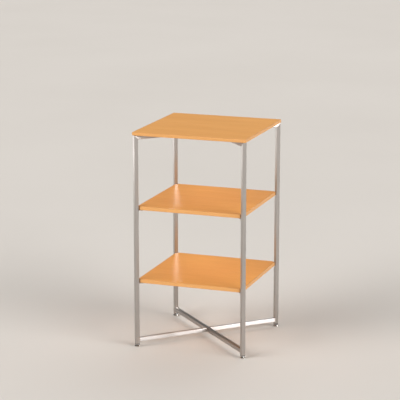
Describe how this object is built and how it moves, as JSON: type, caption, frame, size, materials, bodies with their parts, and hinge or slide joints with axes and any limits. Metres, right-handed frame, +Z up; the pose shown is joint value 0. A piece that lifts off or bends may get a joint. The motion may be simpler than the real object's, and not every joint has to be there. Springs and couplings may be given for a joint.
{
  "type": "display shelf",
  "caption": "Open display shelf: square wood-veneer boards on a slender square-tube steel frame, braced by diagonal cross rails, on levelling feet.",
  "frame": {"origin": "on the floor, under the middle of the shelf", "axes": "+Z up, -Y towards the front, +X to the right seen from the front"},
  "size_m": [0.4602, 0.4602, 0.862],
  "materials": {
    "veneer": "satin lacquered veneer, grain left to right",
    "edging": "satin edging band, paler than the veneer",
    "tube_steel": "brushed along each tube",
    "screw_steel": "zinc plated",
    "foot_metal": "nickel plated",
    "insert_nylon": "moulded black nylon",
    "sole_nylon": "moulded dark nylon"
  },
  "bodies": {
    "frame": {"bottom_half_rail_back_right": "tube_steel", "bottom_half_rail_front_left": "tube_steel", "bottom_through_rail": "tube_steel", "foot_insert_back_left": "insert_nylon", "foot_insert_back_right": "insert_nylon", "foot_insert_front_left": "insert_nylon", "foot_insert_front_right": "insert_nylon", "lower_shelf_edging": "edging", "lower_shelf_panel": "veneer", "lower_shelf_screw_back_left": "screw_steel", "lower_shelf_screw_back_right": "screw_steel", "lower_shelf_screw_front_left": "screw_steel", "lower_shelf_screw_front_right": "screw_steel", "lower_shelf_tab_back_left": "tube_steel", "lower_shelf_tab_back_right": "tube_steel", "lower_shelf_tab_front_left": "tube_steel", "lower_shelf_tab_front_right": "tube_steel", "middle_shelf_edging": "edging", "middle_shelf_panel": "veneer", "middle_shelf_screw_back_left": "screw_steel", "middle_shelf_screw_back_right": "screw_steel", "middle_shelf_screw_front_left": "screw_steel", "middle_shelf_screw_front_right": "screw_steel", "middle_shelf_tab_back_left": "tube_steel", "middle_shelf_tab_back_right": "tube_steel", "middle_shelf_tab_front_left": "tube_steel", "middle_shelf_tab_front_right": "tube_steel", "top_edging": "edging", "top_half_rail_back_right": "tube_steel", "top_half_rail_front_left": "tube_steel", "top_panel": "veneer", "top_screw_back_left": "screw_steel", "top_screw_back_right": "screw_steel", "top_screw_front_left": "screw_steel", "top_screw_front_right": "screw_steel", "top_through_rail": "tube_steel", "upright_back_left": "tube_steel", "upright_back_right": "tube_steel", "upright_front_left": "tube_steel", "upright_front_right": "tube_steel"},
    "foot_front_left": {"foot_cup_front_left": "foot_metal", "foot_sole_front_left": "sole_nylon"},
    "foot_front_right": {"foot_cup_front_right": "foot_metal", "foot_sole_front_right": "sole_nylon"},
    "foot_back_right": {"foot_cup_back_right": "foot_metal", "foot_sole_back_right": "sole_nylon"},
    "foot_back_left": {"foot_cup_back_left": "foot_metal", "foot_sole_back_left": "sole_nylon"},
    "stem_front_left": {"foot_stem_front_left": "screw_steel"},
    "stem_front_right": {"foot_stem_front_right": "screw_steel"},
    "stem_back_right": {"foot_stem_back_right": "screw_steel"},
    "stem_back_left": {"foot_stem_back_left": "screw_steel"}
  },
  "joints": [
    {"name": "foot_front_left_adjust", "type": "slide", "parent": "frame", "child": "foot_front_left", "axis": [0, 0, -1], "range_m": [0, 0.01]},
    {"name": "foot_front_right_adjust", "type": "slide", "parent": "frame", "child": "foot_front_right", "axis": [0, 0, -1], "range_m": [0, 0.01]},
    {"name": "foot_back_right_adjust", "type": "slide", "parent": "frame", "child": "foot_back_right", "axis": [0, 0, -1], "range_m": [0, 0.01]},
    {"name": "foot_back_left_adjust", "type": "slide", "parent": "frame", "child": "foot_back_left", "axis": [0, 0, -1], "range_m": [0, 0.01]},
    {"name": "foot_front_left_turn", "type": "hinge", "parent": "foot_front_left", "child": "stem_front_left", "pos_m": [-0.219, -0.219, 0.01], "axis": [0, 0, -1], "range_deg": [0, 2880]},
    {"name": "foot_front_right_turn", "type": "hinge", "parent": "foot_front_right", "child": "stem_front_right", "pos_m": [0.219, -0.219, 0.01], "axis": [0, 0, -1], "range_deg": [0, 2880]},
    {"name": "foot_back_right_turn", "type": "hinge", "parent": "foot_back_right", "child": "stem_back_right", "pos_m": [0.219, 0.219, 0.01], "axis": [0, 0, -1], "range_deg": [0, 2880]},
    {"name": "foot_back_left_turn", "type": "hinge", "parent": "foot_back_left", "child": "stem_back_left", "pos_m": [-0.219, 0.219, 0.01], "axis": [0, 0, -1], "range_deg": [0, 2880]}
  ],
  "couplings": [
    {"joint": "foot_front_left_adjust", "follows": "foot_front_left_turn", "m_per_rad": 0.00019894},
    {"joint": "foot_front_right_adjust", "follows": "foot_front_right_turn", "m_per_rad": 0.00019894},
    {"joint": "foot_back_right_adjust", "follows": "foot_back_right_turn", "m_per_rad": 0.00019894},
    {"joint": "foot_back_left_adjust", "follows": "foot_back_left_turn", "m_per_rad": 0.00019894}
  ]
}
